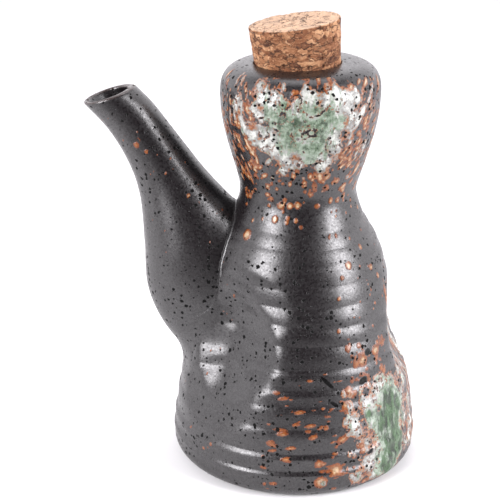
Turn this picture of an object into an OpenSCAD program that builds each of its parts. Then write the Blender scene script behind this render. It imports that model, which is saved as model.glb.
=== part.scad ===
// Gourd-shaped ceramic bottle with a side spout, pressed-in finger dents and a tapered stopper.
// Millimetres, +Z up. The origin is the centre of the foot, on the table. The spout points to -X.
// The body and the head are two thrown forms joined at the waist, the spout is luted on over a
// pouring hole in the body, and a coil of slip fills the seam round the spout's root.

/* [Body] */
// Radius of the widest part of the body, just above the foot
belly_r = 45; // [44:0.5:46]
// Outer radius of the ring that the bottle stands on
foot_r = 39; // [38:0.5:40]
// Radius of the waist, where the body meets the head
waist_r = 20.5; // [20:0.5:21]
// Height of the waist above the table
waist_z = 100; // [98:1:102]
// Thickness of the body and head walls
wall = 4; // [3.5:0.5:4.5]
// Thickness of the body's floor
floor_h = 5; // [4:0.5:6]
// How far the throwing rings stand out from the grooves between them
ring_depth = 0.6; // [0.2:0.1:0.8]

/* [Dents] */
// How deep each finger dent is pressed into the body
dent_depth = 6.5; // [6:0.5:7]
// Width of a dent across the body
dent_width = 35; // [33:1:36]
// Height of a dent
dent_height = 38; // [34:1:40]
// Height of the middle of the dents above the table
dent_z = 50; // [48:1:52]
// Turn of the two dents beside the spout from the bottle's front and back, in degrees
dent_turn = 40; // [38:1:42]

/* [Head] */
// Largest radius of the head
bulb_r = 28; // [27:0.5:29]
// Height of the head, from the waist to the flat round the mouth
head_h = 47; // [46:1:49]
// Radius of the mouth at its rim
mouth_r = 15; // [14:0.5:15.5]
// Lean of the mouth and its stopper towards the spout, in degrees
mouth_lean = 5.5; // [0:0.5:6]
// How far the middle of the mouth lies from the bottle's axis, towards the spout
mouth_shift = 1.2; // [0:0.2:1.6]

/* [Spout] */
// Wall of the spout at its lip
lip_wall = 1.8; // [1.5:0.1:2.2]
// Wall of the spout at its root
root_wall = 3.5; // [3:0.25:4]
// Diameter of the pouring hole through the body's wall
pour_hole_d = 24; // [20:1:26]
// How far the slip coil spreads from the spout's root over the body
seam_spread = 4; // [3:0.5:5]

/* [Stopper] */
// How far the stopper stands out of the mouth, at its middle
stopper_out = 14; // [12:1:18]
// How far the stopper reaches into the bottle
stopper_in = 16; // [12:1:18]
// Half angle of the stopper's taper, in degrees
stopper_taper = 4; // [3:0.5:5]
// Slant of the stopper's top face, in degrees
stopper_slant = 2; // [0:1:4]
// Radial gap between the stopper and the mouth
fit_gap = 0.05; // [0.03:0.01:0.1]

/* [Hidden] */
$fn = 96;

glaze = "#4a464b";
slip = "#545055";
cork = "#c98f62";

eps = 0.01;                   // how far a cutter runs past the face it opens
joint_gap = 0.05;             // between the wall and what is luted on it
foot_round = 5.5;             // height of the rounded edge above the foot
foot_ring_w = 6;              // width of the ring that touches the table
foot_recess = 1.5;            // depth of the hollow inside that ring
inner_floor = foot_recess + floor_h;
inner_corner = 5;             // radius where the floor turns up into the wall
top_z = waist_z + head_h;
bulb_z = top_z - 11;          // height of the head's widest part
lip_h = 5.5;                  // thickness of the head's top round the mouth
rim_chamfer = 0.7;
ring_low = 0.6;               // share of a ring's depth that its grooves lie inside the smooth side
ring_steps = 4;               // straight pieces in each rounded ring
dent_steps = 12;              // straight pieces in a dent's long curve
dent_reach = 8;               // how far a dent's spindle runs past the dent's edge
hollow_steps = 16;            // straight pieces up the inside of the body
head_steps = 12;              // straight pieces up the side of the head
neck_inset = 2;               // how far the head's hollow closes in past the mouth
round_power = 0.7;            // below 1 the head's shoulder is squarer than an ellipse
past_rim = 3;                 // how far the mouth's cutters run on above its rim
bore_below_lip = 6;           // how far the mouth's bore runs on into the hollow
pour_hole_z = 68;
start_angle = 60;             // where the body's turned faces begin and end, clear of dents and spout

// Side of the body: share of the waist's height, share of the way from waist_r out to belly_r
side_knots = [[0.055, 1], [0.1, 1], [0.3, 0.89], [0.5, 0.715], [0.67, 0.55],
              [0.8, 0.395], [0.86, 0.275], [0.92, 0.127], [1, 0]];
// Grooves of the potter's fingers: share of the waist's height
groove_knots = [0.055, 0.105, 0.17, 0.265, 0.34, 0.395, 0.465, 0.55, 0.615, 0.68,
                0.745, 0.815, 0.87, 0.92, 1];
// Side of the head: share of the way up to bulb_z, share of the way from waist_r out to bulb_r
head_knots = [[0, 0], [0.11, 0.055], [0.33, 0.36], [0.61, 0.745], [0.83, 0.945], [1, 1]];
dent_angles = [-dent_turn, 90, 180 + dent_turn];  // azimuth of each dent from -Y towards +X

// Spout, from its lip to inside the body: [x, z] of its underside, [x, z] of its upper side, and
// half of its width. The sections between these are curved.
spout_stations = [
    [[-75.5, 131.0], [-57.4, 136.9], 9.3],
    [[-67.3, 121.8], [-51.6, 131.0], 9.3],
    [[-60.5, 110.0], [-43.0, 119.7], 10.3],
    [[-56.7, 97.5], [-34.6, 108.6], 12.0],
    [[-55.4, 80.0], [-28.2, 101.3], 14.6],
    [[-54.6, 63.5], [-24.6, 97.6], 16.3],
    [[-49.5, 50.0], [-22.6, 96.0], 17.2],
    [[-41.2, 39.6], [-21.2, 95.0], 17.6],
    [[-32.0, 36.0], [-14.0, 92.0], 17.0],
];
root_station = 7;             // where the spout meets the body
past_lip = [-0.7, 0, 2];      // step from the lip to where the passage's cutter begins, in the air
spout_sides = 36;
spout_rings_per_station = 3;

seam_station = 4.6;           // where the slip coil begins to swell off the spout
seam_end = root_station + 0.6;
seam_rings = 8;
seam_swell = 1.5;             // above 1 the coil swells mostly near the body
seam_sides = 0.8;             // spread of the coil beside the spout, as a share of that below it
seam_top = 0.35;              // and above it
seam_sink = 0.2;              // how deep the coil's thin edge starts inside the spout

// Cubic through knots [x, value]; a value can be a number or a vector
function slope(knots, i) =
    let (a = max(i - 1, 0), b = min(i + 1, len(knots) - 1))
    (knots[b][1] - knots[a][1]) / (knots[b][0] - knots[a][0]);

function span(knots, x) = max([for (i = [0:len(knots) - 2]) if (i == 0 || x >= knots[i][0]) i]);

function hermite(p, q, m, n, t) =
    p * (2 * pow(t, 3) - 3 * pow(t, 2) + 1) + m * (pow(t, 3) - 2 * pow(t, 2) + t)
    + q * (3 * pow(t, 2) - 2 * pow(t, 3)) + n * (pow(t, 3) - pow(t, 2));

function curve(knots, x) =
    let (i = span(knots, x), w = knots[i + 1][0] - knots[i][0], t = (x - knots[i][0]) / w)
    hermite(knots[i][1], knots[i + 1][1], w * slope(knots, i), w * slope(knots, i + 1), t);

// Body: radius of the wall at height z, without and with its rings
function side_r(z) = waist_r + (belly_r - waist_r) * curve(side_knots, z / waist_z);

// How far the side stands out at share u of the way up a ring
function ring(u) = ring_depth * (sin(180 * u) - ring_low);

function foot_arc(grow) =
    [for (a = [0:15:75])
        [foot_r + grow + (belly_r - foot_r) * sin(a) - ring_low * ring_depth, foot_round * (1 - cos(a))]];

function ringed_side(grow) =
    [for (i = [0:len(groove_knots) - 2], j = [0:ring_steps - 1])
        let (u = j / ring_steps, z = waist_z * (groove_knots[i] * (1 - u) + groove_knots[i + 1] * u))
        [side_r(z) + grow + ring(u), z]];

// Solid form of the body's outside, before the dents
module body_form(grow = 0) {
    waist = [waist_r + grow - ring_low * ring_depth, waist_z];
    rotate([0, 0, start_angle]) rotate_extrude()
        polygon(concat([[0, 0]], foot_arc(grow), ringed_side(grow), [waist, [0, waist_z]]));
}

// Spindle that presses one dent: a long, nearly flat curve round the body and a tighter one up it
module dent_tool(grow = 0) {
    surface_r = side_r(dent_z);
    half_w = dent_width / 2;
    half_h = dent_height / 2;
    sag = dent_depth - (surface_r - sqrt(pow(surface_r, 2) - pow(half_w, 2)));
    long_r = (pow(half_w, 2) + pow(sag, 2)) / (2 * sag);
    up_r = (pow(half_h, 2) + pow(dent_depth, 2)) / (2 * dent_depth);
    reach = half_w + dent_reach;
    edge = [for (i = [0:dent_steps])
        let (y = reach * (2 * i / dent_steps - 1))
        [up_r + grow - long_r + sqrt(pow(long_r, 2) - pow(y, 2)), y]];
    translate([0, -(surface_r - dent_depth + up_r), dent_z])
        rotate([0, 90, 0])
            rotate_extrude()
                polygon(concat([[0, -reach]], edge, [[0, reach]]));
}

module dents(grow = 0) {
    for (a = dent_angles) rotate([0, 0, a]) dent_tool(grow);
}

// The body's outside with its dents, moved out by grow: what is luted on it is cut to this
module dented_form(grow = 0) {
    difference() {
        body_form(grow);
        dents(-grow);
    }
}

// Hollow of the body, open at the waist
module body_hollow() {
    corner = [for (a = [0:30:90])
        [side_r(inner_floor + inner_corner) - wall - inner_corner * (1 - sin(a)),
         inner_floor + inner_corner * (1 - cos(a))]];
    rise = waist_z - inner_floor - inner_corner;
    side = [for (i = [1:hollow_steps])
        let (z = inner_floor + inner_corner + rise * i / hollow_steps)
        [side_r(z) - wall, z]];
    difference() {
        rotate([0, 0, start_angle]) rotate_extrude()
            polygon(concat([[0, inner_floor]], corner, side,
                           [[waist_r - wall, waist_z + eps], [0, waist_z + eps]]));
        dents(wall);
    }
}

module pour_hole() {
    translate([0, 0, pour_hole_z]) rotate([0, -90, 0]) cylinder(h = belly_r, d = pour_hole_d);
}

module body() {
    color(glaze) difference() {
        dented_form();
        body_hollow();
        pour_hole();
        translate([0, 0, -eps]) cylinder(h = foot_recess + eps, r = foot_r - foot_ring_w);
    }
}

// Head: side up to its widest part, then a rounded shoulder in to the flat round the mouth
function head_side(inset) =
    [for (i = [0:head_steps])
        let (u = i / head_steps)
        [waist_r + (bulb_r - waist_r) * curve(head_knots, u) - inset,
         waist_z + (bulb_z - waist_z) * u]];

function shoulder(inner_r, outer_r, height) =
    [for (a = [10:10:90])
        [inner_r + (outer_r - inner_r) * pow(max(cos(a), 0), round_power),
         bulb_z + height * pow(sin(a), round_power)]];

module head_form() {
    flat_r = mouth_r + rim_chamfer;
    rotate_extrude()
        polygon(concat([[0, waist_z]], head_side(0),
                       shoulder(flat_r, bulb_r, top_z - bulb_z), [[0, top_z]]));
}

module head_hollow() {
    side = head_side(wall);
    ceiling = top_z - lip_h;
    rotate_extrude()
        polygon(concat([[0, waist_z - eps], [side[0][0], waist_z - eps]], side,
                       shoulder(mouth_r - neck_inset, bulb_r - wall, ceiling - bulb_z), [[0, ceiling]]));
}

// Places its children in the leaning frame of the mouth: z = 0 is the middle of the rim
module at_mouth() {
    translate([-mouth_shift, 0, top_z]) rotate([0, -mouth_lean, 0]) children();
}

// Radius of the mouth's taper at height z above the rim
function taper_r(z) = mouth_r + z * tan(stopper_taper);

// Tapered bore of the mouth, with a 45 degree chamfer at its rim
module mouth_bore() {
    depth = lip_h + bore_below_lip;
    chamfer_h = rim_chamfer + past_rim;
    at_mouth() {
        translate([0, 0, -depth])
            cylinder(h = depth + past_rim, r1 = taper_r(-depth), r2 = taper_r(past_rim));
        translate([0, 0, -rim_chamfer])
            cylinder(h = rim_chamfer + chamfer_h, r1 = mouth_r, r2 = mouth_r + rim_chamfer + chamfer_h);
    }
}

module head() {
    color(glaze) difference() {
        head_form();
        head_hollow();
        mouth_bore();
    }
}

// Spout section at station s, with its underside, upper side and sides moved out by grow
function spout_section(s, under_grow, upper_grow, side_grow) =
    let (
        last = len(spout_stations) - 1,
        under = curve([for (i = [0:last]) [i, spout_stations[i][0]]], s),
        upper = curve([for (i = [0:last]) [i, spout_stations[i][1]]], s),
        half = curve([for (i = [0:last]) [i, spout_stations[i][2]]], s) + side_grow,
        along = (upper - under) / norm(upper - under),
        low = under - under_grow * along,
        high = upper + upper_grow * along,
        mid = (low + high) / 2,
        arm = (high - low) / 2
    )
    [for (j = [0:spout_sides - 1])
        let (a = 360 * j / spout_sides, p = mid + arm * cos(a))
        [p[0], half * sin(a), p[1]]];

module loft(rings) {
    n = len(rings[0]);
    last = len(rings) - 1;
    sides = [for (i = [0:last - 1], j = [0:n - 1])
        [i * n + j, i * n + (j + 1) % n, (i + 1) * n + (j + 1) % n, (i + 1) * n + j]];
    caps = [[for (j = [n - 1:-1:0]) j], [for (j = [0:n - 1]) last * n + j]];
    polyhedron([for (r = rings) each r], concat(sides, caps), convexity = 6);
}

module spout_form(grow = 0) {
    last = len(spout_stations) - 1;
    loft([for (i = [0:last * spout_rings_per_station])
        spout_section(i / spout_rings_per_station, grow, grow, grow)]);
}

// Passage through the spout, open at the lip and at the root
module spout_hollow() {
    last = len(spout_stations) - 1;
    lip = spout_section(0, -lip_wall, -lip_wall, -lip_wall);
    loft(concat(
        [[for (p = lip) p + past_lip]],
        [for (i = [0:last * spout_rings_per_station])
            let (s = i / spout_rings_per_station, t = lip_wall + (root_wall - lip_wall) * s / last)
            spout_section(s, -t, -t, -t)]));
}

module spout() {
    color(glaze) resize([0, 0, 0]) difference() {
        spout_form();
        spout_hollow();
        dented_form(joint_gap);
    }
}

// Coil of slip: a skirt that swells off the spout and spreads over the body, least at the top
module spout_seam() {
    color(slip) resize([0, 0, 0]) difference() {
        loft([for (i = [0:seam_rings])
            let (u = i / seam_rings, swell = seam_spread * pow(u, seam_swell))
            spout_section(seam_station + (seam_end - seam_station) * u, swell - seam_sink,
                          seam_top * swell - seam_sink, seam_sides * swell - seam_sink)]);
        spout_form(joint_gap);
        dented_form(joint_gap);
    }
}

// Tapered stopper: its foot is chamfered, and a block cuts its top face on a slant
module stopper() {
    chamfer = 0.6;
    block = 60;
    blank_top = stopper_out + 4;
    foot_r1 = taper_r(-stopper_in) - fit_gap - chamfer;
    foot_r2 = taper_r(chamfer - stopper_in) - fit_gap;
    color(cork) at_mouth() difference() {
        union() {
            translate([0, 0, chamfer - stopper_in])
                cylinder(h = blank_top + stopper_in - chamfer, r1 = foot_r2,
                         r2 = taper_r(blank_top) - fit_gap);
            translate([0, 0, -stopper_in]) cylinder(h = chamfer, r1 = foot_r1, r2 = foot_r2);
        }
        translate([0, 0, stopper_out]) rotate([0, -stopper_slant, 0])
            translate([-block / 2, -block / 2, 0]) cube([block, block, block / 2]);
    }
}

body();
head();
spout();
spout_seam();
stopper();
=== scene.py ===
"""Looks of a gourd-shaped ceramic sake bottle: glazed body, head, spout and slip seam, and a cork.

Every length is in millimetres until a mesh is made, in the frame of the CAD model: +Z up, the
origin at the centre of the foot, the spout towards -X. Azimuth is measured from -Y towards +X.
"""
import itertools
import math

import bpy
import numpy as np
from mathutils import Matrix, Vector
from mathutils.kdtree import KDTree


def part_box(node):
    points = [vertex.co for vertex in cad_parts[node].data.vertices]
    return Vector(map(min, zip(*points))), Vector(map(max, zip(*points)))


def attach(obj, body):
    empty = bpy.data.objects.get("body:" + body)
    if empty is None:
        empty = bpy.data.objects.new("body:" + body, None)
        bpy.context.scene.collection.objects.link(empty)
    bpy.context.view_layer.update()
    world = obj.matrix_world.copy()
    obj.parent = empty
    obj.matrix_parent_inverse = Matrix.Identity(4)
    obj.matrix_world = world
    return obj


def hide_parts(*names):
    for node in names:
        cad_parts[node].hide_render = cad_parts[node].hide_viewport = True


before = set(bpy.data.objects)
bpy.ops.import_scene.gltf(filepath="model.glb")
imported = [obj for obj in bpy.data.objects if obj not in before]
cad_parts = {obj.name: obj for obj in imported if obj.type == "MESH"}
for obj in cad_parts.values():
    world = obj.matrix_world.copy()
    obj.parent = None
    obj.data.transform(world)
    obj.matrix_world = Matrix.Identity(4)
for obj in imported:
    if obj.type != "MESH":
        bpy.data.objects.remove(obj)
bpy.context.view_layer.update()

MM = 0.001
rng = np.random.default_rng(23)


def cad_corners(node):
    """Lowest and highest corner of a CAD node, in millimetres."""
    low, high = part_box(node)
    return np.array(low) / MM, np.array(high) / MM


# Driving dimensions, read from the frame
head_low, head_high = cad_corners("head")
waist_z = head_low[2]
top_z = head_high[2]
bulb_r = (head_high[0] - head_low[0]) / 2

# The rest of the form, as the CAD model has it
belly_r = 45.0
foot_r = 39.0
foot_round = 5.5              # height of the rounded edge above the foot
foot_ring_w = 6.0
foot_recess = 1.5
waist_r = 20.5
wall = 4.0
floor_z = 6.5                 # top of the body's floor
floor_corner = 5.0            # inner radius where the wall meets the floor
bulb_z = top_z - 11           # height where the head is widest
mouth_r = 15.0
mouth_lean = math.radians(5.5)
mouth_shift = 1.2
cork_gap = 0.05               # between the cork and the mouth
cork_out = 14.0
cork_in = 16.0
cork_taper = math.tan(math.radians(4))

# Side of the body: share of the waist's height, share of the way from waist_r out to belly_r
SIDE = [(0.055, 1), (0.1, 1), (0.3, 0.89), (0.5, 0.715), (0.67, 0.55),
        (0.8, 0.395), (0.86, 0.275), (0.92, 0.127), (1, 0)]
# Side of the head: share of the way up to bulb_z, share of the way from waist_r out to bulb_r
HEAD_SIDE = [(0, 0), (0.11, 0.055), (0.33, 0.36), (0.61, 0.745), (0.83, 0.945), (1, 1)]
# Heights of the grooves between the throwing rings
GROOVES = [5.5, 10.5, 17, 26.5, 34, 39.5, 46.5, 55, 61.5, 68, 74.5, 81.5, 87, 92, 100]

# Finger dents: azimuth in degrees, height, half width towards falling and rising azimuth, half height, depth.
# The first three together are the uneven dent at the front.
DENTS = [
    (-44, 50.5, 14, 23, 19.5, 7.4),
    (-37, 66, 17, 21, 13, 2.2),
    (-47, 32, 16, 20, 12.5, 2.7),
    (90, 50, 17.5, 17.5, 19, 6.5),
    (220, 50, 19.5, 15.5, 19, 6.5),
]

# Spout from its lip to inside the body: underside x, z, upper side x, z, and half width
SPOUT = [
    (-75.5, 131.0, -57.4, 136.9, 9.3),
    (-67.3, 121.8, -51.6, 131.0, 9.3),
    (-60.5, 110.0, -43.0, 119.7, 10.3),
    (-56.7, 97.5, -34.6, 108.6, 12.0),
    (-55.4, 80.0, -28.2, 101.3, 14.6),
    (-54.6, 63.5, -24.6, 97.6, 16.3),
    (-49.5, 50.0, -22.6, 96.0, 17.2),
    (-41.2, 39.6, -21.2, 95.0, 17.6),
    (-32.0, 36.0, -14.0, 92.0, 17.0),
]
lip_wall = 1.8
lip_extra = 1.3               # how much thicker the lip's upper side is
root_wall = 3.5
pour_hole = (-30, 0, 68.0)    # middle of the pouring hole through the body's wall
pour_hole_r = 12.0
pour_hole_length = 34
crisp = 0.03                  # distance of the row that keeps an edge sharp under smooth shading

# Details that only the looks have
crease_slip = 0.4             # slip worked into the crease at the waist, and how fast it thins out
crease_fade = 1.6
dent_softness = 0.03          # 0 would leave a crease round each dent
ledge_out = 0.45              # a thin ledge across the front, its height, and how far the dent drops it
ledge_z = 46.2
ledge_drop = 6.7


# ---------------- curves and noise

def curve(knots, x):
    """Smooth curve through knots (x, value), where a value may be several numbers."""
    xs = np.array([k[0] for k in knots], float)
    values = np.array([k[1] for k in knots], float)
    before = np.maximum(np.arange(len(xs)) - 1, 0)
    after = np.minimum(np.arange(len(xs)) + 1, len(xs) - 1)
    values = values.reshape(len(xs), -1)
    slopes = (values[after] - values[before]) / (xs[after] - xs[before])[:, None]
    x = np.asarray(x, float)
    i = np.clip(np.searchsorted(xs, x, side="right") - 1, 0, len(xs) - 2)
    width = (xs[i + 1] - xs[i])[..., None]
    t = (x - xs[i])[..., None] / width
    made = (
        values[i] * (2 * t**3 - 3 * t**2 + 1)
        + slopes[i] * width * (t**3 - 2 * t**2 + t)
        + values[i + 1] * (3 * t**2 - 2 * t**3)
        + slopes[i + 1] * width * (t**3 - t**2)
    )
    return made[..., 0] if np.ndim(knots[0][1]) == 0 else made


def smooth_step(low, high, x):
    """0 below low, 1 above high and a soft rise between, or a fall where low is the larger."""
    t = np.clip((x - low) / (high - low), 0, 1)
    return t * t * (3 - 2 * t)


def turn_between(a, b):
    """The signed turn from b to a, between -pi and pi."""
    return (a - b + math.pi) % (2 * math.pi) - math.pi


lattice_size = 32
LATTICE = rng.random((lattice_size, lattice_size, lattice_size))


def value_noise(points, size):
    """Soft noise from 0 to 1 that varies over about size millimetres."""
    p = np.asarray(points) / size + 100
    cell = np.floor(p).astype(int)
    t = p - cell
    t = t * t * (3 - 2 * t)
    total = 0
    for corner in itertools.product((0, 1), repeat=3):
        weight = np.where(corner, t, 1 - t)
        at = (cell + corner) % lattice_size
        values = LATTICE[at[..., 0], at[..., 1], at[..., 2]]
        total = total + weight[..., 0] * weight[..., 1] * weight[..., 2] * values
    return total


# ---------------- form of the body and the head

def waist_fillet(z):
    """What the slip worked into the crease at the waist adds to the radius."""
    return crease_slip * np.exp(-np.abs(z - waist_z) / crease_fade)


def side_radius(z):
    """Radius of the body at height z, without rings and dents."""
    round_share = np.clip(1 - z / foot_round, 0, 1)
    foot = foot_r + (belly_r - foot_r) * np.sqrt(1 - round_share**2)
    side = waist_r + (belly_r - waist_r) * curve(SIDE, np.maximum(z, foot_round) / waist_z)
    return np.where(z < foot_round, foot, side) + waist_fillet(z)


def dents(azimuth, z):
    """How deep the finger dents press the body in."""
    total = 0
    for middle, height, before, after, half_h, depth in DENTS:
        across = turn_between(azimuth, math.radians(middle)) * side_radius(np.array(float(height)))
        across = across / np.where(across < 0, before, after)
        inside = 1 - across**2 - ((z - height) / half_h) ** 2
        total = total + depth * 0.5 * (inside + np.sqrt(inside**2 + dent_softness))
    return total


def rings(azimuth, z):
    """How far the throwing rings stand out: soft ridges above, overlapping steps below."""
    # the rings lean a little to one side half way up, and wobble
    lean = 1.7 * np.exp(-(((z - 57) / 8) ** 2)) * np.sin(azimuth)
    wobble = 0.22 * np.sin(2 * azimuth + 0.3 * z) + 0.12 * np.sin(5 * azimuth - 0.2 * z)
    grooves = np.array(GROOVES)
    height = np.clip(z + lean + wobble, grooves[0], grooves[-1] - 1e-6)
    i = np.searchsorted(grooves, height, side="right") - 1
    u = (height - grooves[i]) / (grooves[i + 1] - grooves[i])
    # low down each ridge is fullest near its upper groove, and the second one up is the boldest
    low = 1 - smooth_step(38, 58, z)
    skew = 1.15 + 1.1 * low
    crest = np.sin(math.pi * np.clip(u, 0, 1) ** skew) ** 0.85
    depth = 0.39 + 0.04 * low + 0.33 * np.exp(-(((z - 14) / 4) ** 2))
    depth = depth * smooth_step(4, 9, z) * (1 - smooth_step(90, 96, z))
    uneven = 0.8 + 0.25 * np.sin(azimuth + 0.13 * z + 0.6)
    return depth * uneven * (crest - 0.6)


def ledge(azimuth, z):
    """A thin ledge across the front that drops where it runs through the dent."""
    side = np.degrees(turn_between(azimuth, 0))
    edge = ledge_z - ledge_drop * smooth_step(-15, -48, side)
    share = smooth_step(-66, -58, side) * smooth_step(16, 4, side)
    below = smooth_step(edge + 0.5, edge - 0.5, z) * np.exp(-np.maximum(edge - z, 0) / 3.5)
    return ledge_out * share * below


def body_radius(azimuth, z):
    """Radius of the finished outside, without the splashed glaze."""
    pressed = dents(azimuth, z)
    ringed = rings(azimuth, z) * (1 - 0.45 * smooth_step(1, 4, pressed))
    return side_radius(z) + ringed + ledge(azimuth, z) - pressed


def head_radius(z):
    """Radius of the head's side at height z."""
    share = np.clip((z - waist_z) / (bulb_z - waist_z), 0, 1)
    return waist_r + (bulb_r - waist_r) * curve(HEAD_SIDE, share) + waist_fillet(z)


# ---------------- splashed glaze

def spray(centre, count, reach, size, strength, fan=(0, 2 * math.pi), stretch=1.8):
    """Drops thrown outwards from a centre (azimuth in degrees, height), long in the direction of flight."""
    drops = []
    for _ in range(count):
        way = rng.uniform(*fan)
        far = rng.uniform(*reach)
        drop = size[0] + (size[1] - size[0]) * rng.random() ** 2
        across, up = far * math.cos(way), far * math.sin(way) * 0.8
        azimuth = math.radians(centre[0]) + across / side_or_head(centre[1] + up)
        long = drop * rng.uniform(1, stretch)
        drops.append((azimuth, centre[1] + up, long, drop, way, rng.uniform(*strength)))
    return drops


def side_or_head(z):
    """Radius of the body or the head at height z."""
    return float(side_radius(np.array(z)) if z < waist_z else head_radius(np.array(z)))


def laid(azimuth, z, drops, join=np.add):
    """Thickness field of the drops (azimuth, height, half length, half width, turn, strength)."""
    field = np.zeros_like(azimuth)
    around = np.where(z < waist_z, side_radius(z), head_radius(z))
    for middle, height, long, thin, way, strength in drops:
        near = np.abs(z - height) < 2.2 * long
        across = turn_between(azimuth[near], middle) * around[near]
        up = z[near] - height
        u = (across * math.cos(way) + up * math.sin(way)) / long
        v = (up * math.cos(way) - across * math.sin(way)) / thin
        field[near] = join(field[near], strength * np.exp(-1.2 * (u**2 + v**2)))
    return field


def placed(places):
    """Drops at listed places, with their azimuth in degrees and the rest as laid takes it."""
    return [(math.radians(azimuth), *rest) for azimuth, *rest in places]


def round_drops(places):
    """Round drops at listed places: (azimuth in degrees, height, radius, strength)."""
    return placed((azimuth, z, r, r, 0.0, strength) for azimuth, z, r, strength in places)


def scattered(count, azimuths, heights, sizes, strengths, stretch=(1.0, 1.5), ways=(80, 100)):
    """Drops strewn over a patch: ranges of azimuth, height, half width, strength, and of how much
    longer than wide they are and which way they lie, in degrees up from the horizontal."""
    drops = []
    for _ in range(count):
        thin = sizes[0] + (sizes[1] - sizes[0]) * rng.random() ** 1.6
        azimuth, z = math.radians(rng.uniform(*azimuths)), rng.uniform(*heights)
        way = math.radians(rng.uniform(*ways))
        drops.append((azimuth, z, thin * rng.uniform(*stretch), thin, way, rng.uniform(*strengths)))
    return drops


# Lumps of the two splashes, listed one by one: azimuth in degrees, height, radius
HEAD_WHITE = [
    (-31, 143.5, 2.4), (-25, 140, 2.6), (-19, 138, 2.8), (8, 141.5, 2.0), (20, 142, 2.6), (25, 140, 2.4),
    (34, 141, 2.4), (44, 138, 1.8), (-46, 136, 1.8), (-34, 136, 2.2), (-37, 126, 2.6), (-42, 129, 2.0),
    (42, 131, 1.8), (-17, 121, 3.0), (28, 124, 2.8), (-27, 130, 3.4), (0, 136, 3.6), (34, 137, 2.4),
    (-8, 119, 2.2), (18, 119, 2.6), (38, 126, 1.6), (-28, 123, 2.2), (24, 128, 2.4), (-20, 126, 3.0),
    (39, 134.5, 2.2), (48, 134, 1.7), (40, 140.5, 1.8), (36, 129.5, 2.0), (-45, 132, 1.8), (-49, 139, 1.5),
]
HEAD_GREEN = [
    (4, 138.5, 3.8), (20, 136, 4.8), (-16, 135, 4.4), (15, 130, 4.6), (6, 123.5, 4.2), (-9, 126, 4.2),
    (-4, 132, 4.4), (26, 132, 3.4), (14, 123, 3.2), (8, 119.5, 2.4),
]
LOW_WHITE = [
    (29, 28, 3.2), (31, 24, 3.0), (46, 36, 3.6), (37, 11, 3.4), (31, 6, 2.8), (65, 29, 3.4), (37, 19, 2.2),
    (38, 32, 3.2), (57, 36, 3.2), (67, 20, 3.0), (66, 10, 2.8), (72, 34, 2.6), (42, 5.5, 2.8),
    (74, 25, 2.4), (74, 14, 2.4), (41, 26, 3.0), (42, 14, 3.0), (51, 37, 2.6), (66, 38, 2.4),
]
LOW_GREEN = [
    (52, 32, 5.0), (55, 23, 5.6), (47, 23, 5.0), (52, 15, 5.4), (55, 8, 4.4), (47, 8, 4.0), (39, 29, 2.4),
    (59, 14, 4.2), (60, 28, 4.4), (51, 4, 2.6),
]


def lumps(places, strength):
    """Nearly round lumps of glaze from their listed middles."""
    return placed((azimuth, z, 1.1 * r, r, math.pi / 2, strength) for azimuth, z, r in places)


# Long flat rust drops on the lower front: azimuth in degrees, height
LONG_RUST = [(-3, 16), (3, 33), (8, 28), (-5, 25), (-1, 20)]

# All the drops of each kind: sprayed, scattered and placed ones
green_lumps = lumps(HEAD_GREEN, 0.65) + lumps(LOW_GREEN, 1.6)
pale_drops = (
    lumps(HEAD_WHITE + HEAD_GREEN, 0.70) + lumps(LOW_WHITE + LOW_GREEN, 0.75)
    + spray((2, 130), 60, (13, 20), (0.6, 1.6), (0.3, 0.6), stretch=2.2)
    + scattered(22, (-70, -42), (116, 144), (0.5, 0.9), (0.4, 0.7), (2, 4), (95, 125))
    + scattered(26, (38, 62), (118, 143), (0.5, 1.1), (0.4, 0.7), (2, 3.5), (35, 70))
    + scattered(30, (24, 50), (4, 40), (0.6, 1.4), (0.35, 0.6))
    + scattered(90, (70, 120), (6, 68), (0.6, 1.6), (0.4, 0.8), (2.5, 6), (82, 98))
    + scattered(10, (-40, 60), (96, 116), (0.5, 1.0), (0.35, 0.5))
    + scattered(16, (-35, 45), (139, 144), (0.5, 1.0), (0.4, 0.7), (2, 3.5), (80, 100))
    + round_drops([
        (-12, 114.5, 1.8, 1.0), (18, 116, 2.2, 1.0), (4, 112, 0.9, 0.4), (-25, 115, 1.0, 0.45),
        (48, 40.5, 2.2, 0.6), (27.5, 34, 1.6, 0.55), (29, 37.5, 1.4, 0.4), (20, 11, 1.0, 0.4),
        (14, 6.5, 1.2, 0.7),
    ])
)
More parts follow.
